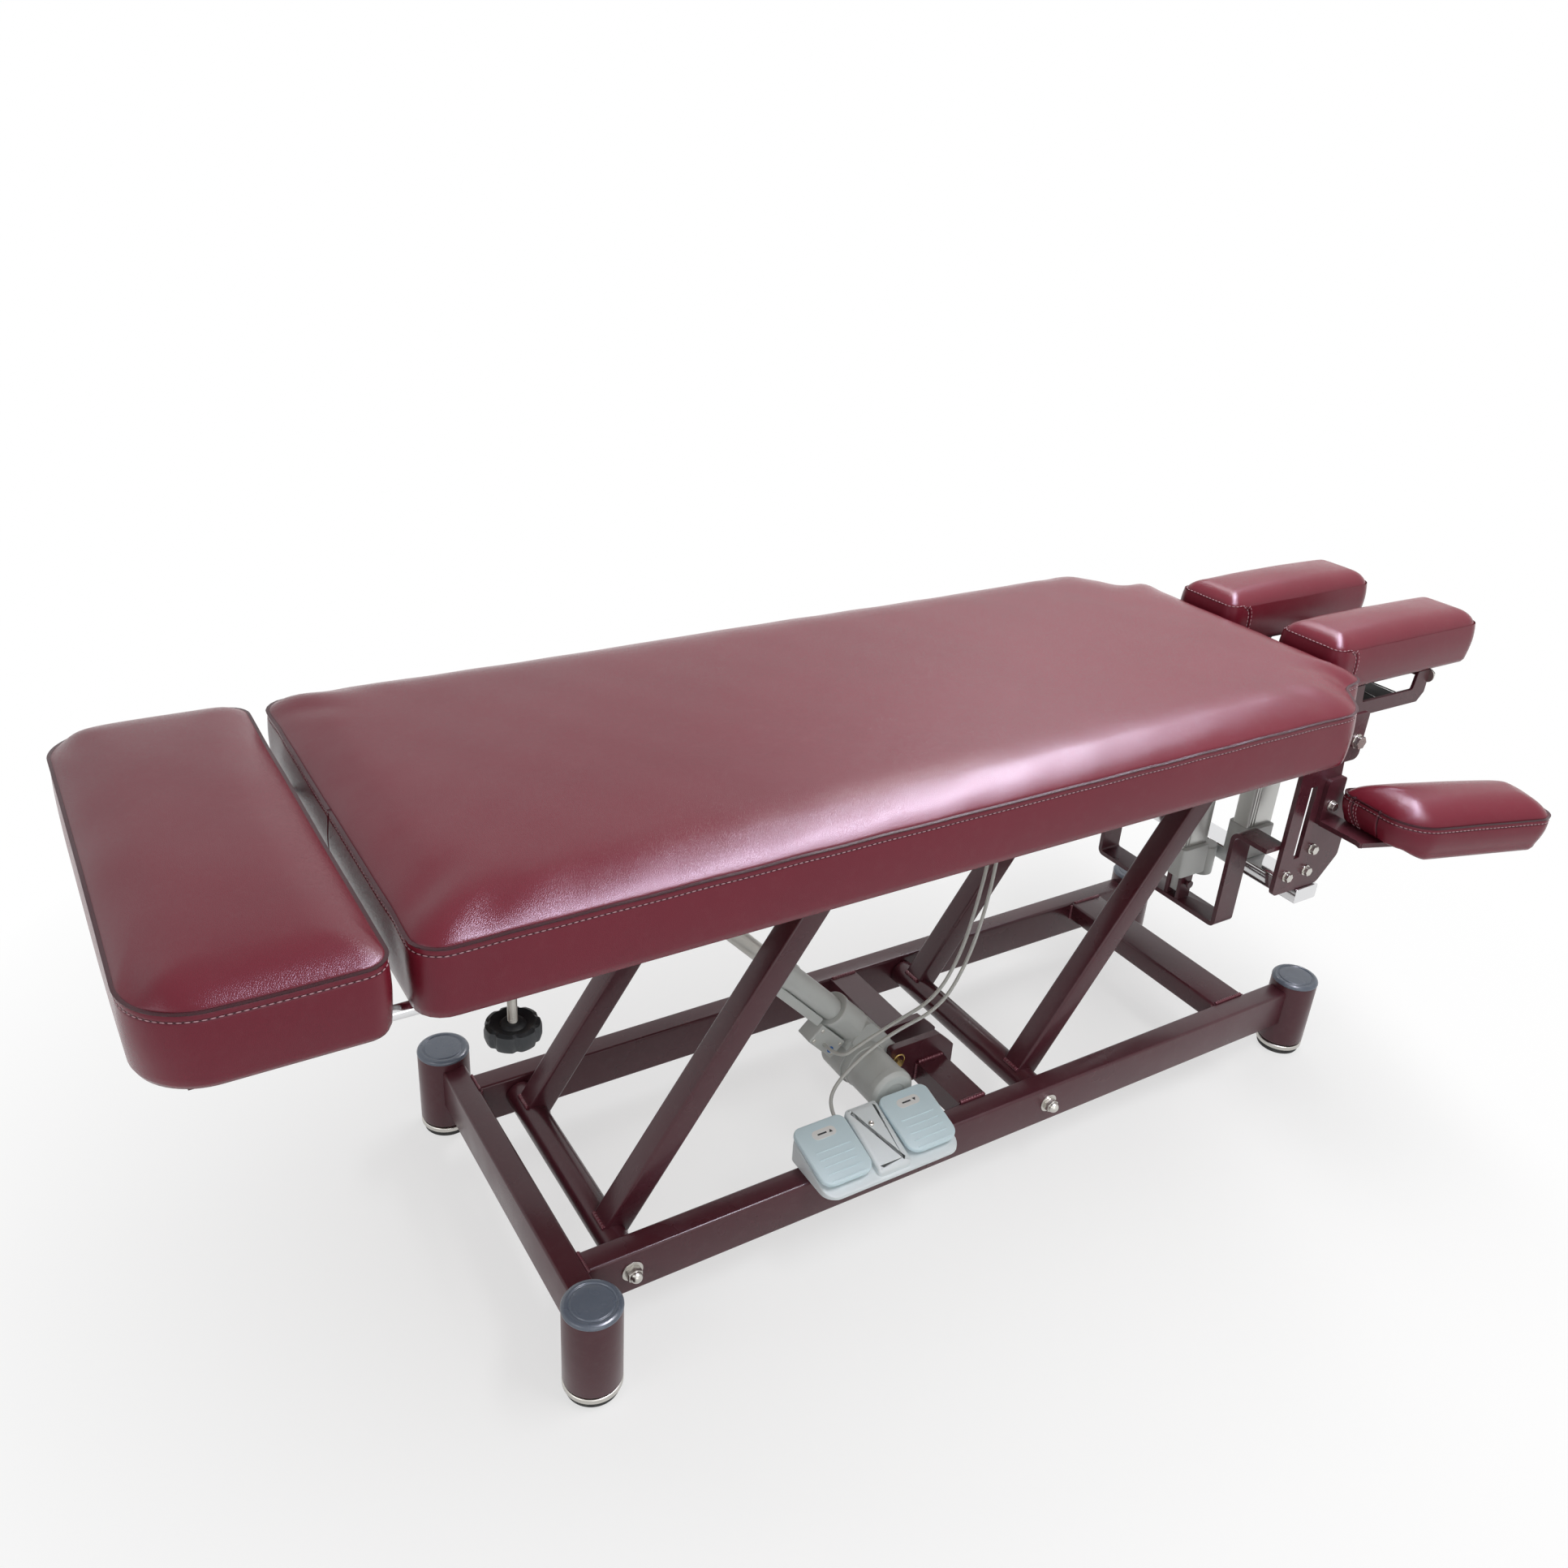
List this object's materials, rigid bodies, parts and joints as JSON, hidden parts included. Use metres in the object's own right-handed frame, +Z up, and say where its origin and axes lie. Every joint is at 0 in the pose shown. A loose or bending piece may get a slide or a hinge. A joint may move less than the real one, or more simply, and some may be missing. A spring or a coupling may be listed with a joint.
{
  "type": "treatment table",
  "caption": "height-adjustable upholstered treatment table: parallelogram lift on a welded base, sliding leg section, tilting split head section, side armrests, foot switch",
  "frame": {"origin": "middle of the footprint box, on the floor", "axes": "+X towards the head section, +Y to the far side away from the foot switch, +Z up"},
  "size_m": [2.075, 0.812, 0.765],
  "materials": {
    "frame_paint": "dark maroon powder coat, semi-gloss",
    "upholstery": "burgundy upholstery vinyl, soft sheen",
    "zinc": "zinc plated",
    "chrome": "bright chrome",
    "drive_grey": "warm light grey",
    "column_aluminium": "satin anodised extrusion",
    "column_plastic": "warm light grey housing",
    "black_plastic": "blue-black moulded plastic",
    "rubber": "black rubber",
    "plywood": "plain plywood",
    "white_plastic": "off-white moulded plastic",
    "pedal_blue": "pale grey-blue moulded plastic",
    "lead_grey": "light grey lead"
  },
  "bodies": {
    "base": {"base_rails": "frame_paint", "base_cross_tubes": "frame_paint", "posts": "frame_paint", "post_caps": "black_plastic", "rubber_feet": "rubber", "foot_rings": "zinc", "drive_mount": "frame_paint", "drive_pin": "zinc", "lower_axle_bolts": "zinc", "lower_washers": "white_plastic", "foot_switch_base": "white_plastic", "foot_switch_lead": "lead_grey", "lift_lead": "lead_grey"},
    "pedal_up": {"pedal_up": "pedal_blue"},
    "pedal_down": {"pedal_down": "pedal_blue"},
    "foot_arms": {"foot_arm_frame": "frame_paint", "foot_cross_bar": "frame_paint", "rod_pin": "zinc"},
    "head_arms": {"head_arm_frame": "frame_paint"},
    "lift_drive": {"drive_outer_tube": "drive_grey", "drive_gear_housing": "drive_grey", "drive_motor": "drive_grey", "drive_junction_box": "drive_grey"},
    "push_rod": {"drive_push_rod": "chrome"},
    "top": {"top_rails": "frame_paint", "top_pivot_lugs": "frame_paint", "top_cross_members": "frame_paint", "slide_sleeves": "frame_paint", "control_box": "column_plastic", "upper_axle_bolts": "zinc", "main_cushion": "upholstery", "main_board": "plywood", "side_plates": "frame_paint", "carriage_glides": "black_plastic", "chrome_cross_bar": "chrome", "side_plate_bolts": "zinc", "column_strap": "frame_paint", "column_profiles": "column_aluminium", "column_gearboxes": "column_plastic", "tilt_motor": "column_plastic"},
    "leg_section": {"slide_rods": "chrome", "rod_blocks": "frame_paint", "leg_board": "plywood", "leg_cushion": "upholstery"},
    "clamp_knob": {"clamp_knob": "black_plastic"},
    "head_carriage": {"height_inner_profile": "column_aluminium", "head_carriage": "frame_paint", "head_pivot_bolt": "zinc"},
    "tilt_rod": {"tilt_rod": "chrome"},
    "head_section": {"head_pivot_tube": "frame_paint", "tilt_levers": "frame_paint", "head_frame": "frame_paint", "head_boards": "plywood", "head_cushions": "upholstery", "head_lock_nut": "zinc"},
    "armrest_near": {"armrest_support_near": "frame_paint", "armrest_pad_near": "upholstery"},
    "armrest_far": {"armrest_support_far": "frame_paint", "armrest_pad_far": "upholstery"}
  },
  "joints": [
    {"name": "lift", "type": "hinge", "parent": "base", "child": "foot_arms", "pos_m": [-0.518, 0, 0.098], "axis": [0, -1, 0], "range_deg": [-24, 0], "deforming": ["foot_switch_lead", "lift_lead"]},
    {"name": "head_arms", "type": "hinge", "parent": "base", "child": "head_arms", "pos_m": [0.182, 0, 0.098], "axis": [0, -1, 0], "range_deg": [-24, 0]},
    {"name": "top", "type": "hinge", "parent": "foot_arms", "child": "top", "pos_m": [-0.18422, 0, 0.59659], "axis": [0, -1, 0], "range_deg": [0, 24]},
    {"name": "lift_drive", "type": "hinge", "parent": "base", "child": "lift_drive", "pos_m": [-0.0055, 0, 0.143], "axis": [0, -1, 0], "range_deg": [-9.2, 0]},
    {"name": "push_rod", "type": "hinge", "parent": "foot_arms", "child": "push_rod", "pos_m": [-0.3815, 0, 0.53756], "axis": [0, -1, 0], "range_deg": [0, 15]},
    {"name": "leg_slide", "type": "slide", "parent": "top", "child": "leg_section", "axis": [-1, 0, 0], "range_m": [0, 0.15]},
    {"name": "clamp_knob", "type": "hinge", "parent": "top", "child": "clamp_knob", "pos_m": [-0.678, -0.25, 0.56], "axis": [0, 0, 1], "continuous": true},
    {"name": "head_height", "type": "slide", "parent": "top", "child": "head_carriage", "axis": [0, 0, 1], "range_m": [-0.05, 0]},
    {"name": "head_tilt", "type": "hinge", "parent": "head_carriage", "child": "head_section", "pos_m": [0.735, 0, 0.596], "axis": [0, -1, 0], "range_deg": [-12, 5]},
    {"name": "tilt_rod", "type": "slide", "parent": "head_carriage", "child": "tilt_rod", "axis": [0, 0, 1], "range_m": [-0.0129, 0.0308]},
    {"name": "armrest_near", "type": "hinge", "parent": "top", "child": "armrest_near", "pos_m": [0.683, -0.212, 0.503], "axis": [0, -1, 0], "range_deg": [-60, 0]},
    {"name": "armrest_far", "type": "hinge", "parent": "top", "child": "armrest_far", "pos_m": [0.683, 0.212, 0.503], "axis": [0, -1, 0], "range_deg": [-60, 0]},
    {"name": "pedal_up", "type": "hinge", "parent": "base", "child": "pedal_up", "pos_m": [-0.209, -0.15288, 0.17136], "axis": [1, 0, 0], "range_deg": [0, 2.5], "stiffness_Nm_per_rad": 2, "springref_deg": -8.59},
    {"name": "pedal_down", "type": "hinge", "parent": "base", "child": "pedal_down", "pos_m": [-0.065, -0.15288, 0.17136], "axis": [1, 0, 0], "range_deg": [0, 2.5], "stiffness_Nm_per_rad": 2, "springref_deg": -8.59}
  ],
  "couplings": [
    {"joint": "head_arms", "follows": "lift", "ratio": 1},
    {"joint": "top", "follows": "lift", "ratio": -1},
    {"joint": "lift_drive", "follows": "lift", "ratio": 0.378},
    {"joint": "push_rod", "follows": "lift", "ratio": -0.622},
    {"joint": "tilt_rod", "follows": "head_tilt", "m_per_rad": -0.1465}
  ]
}
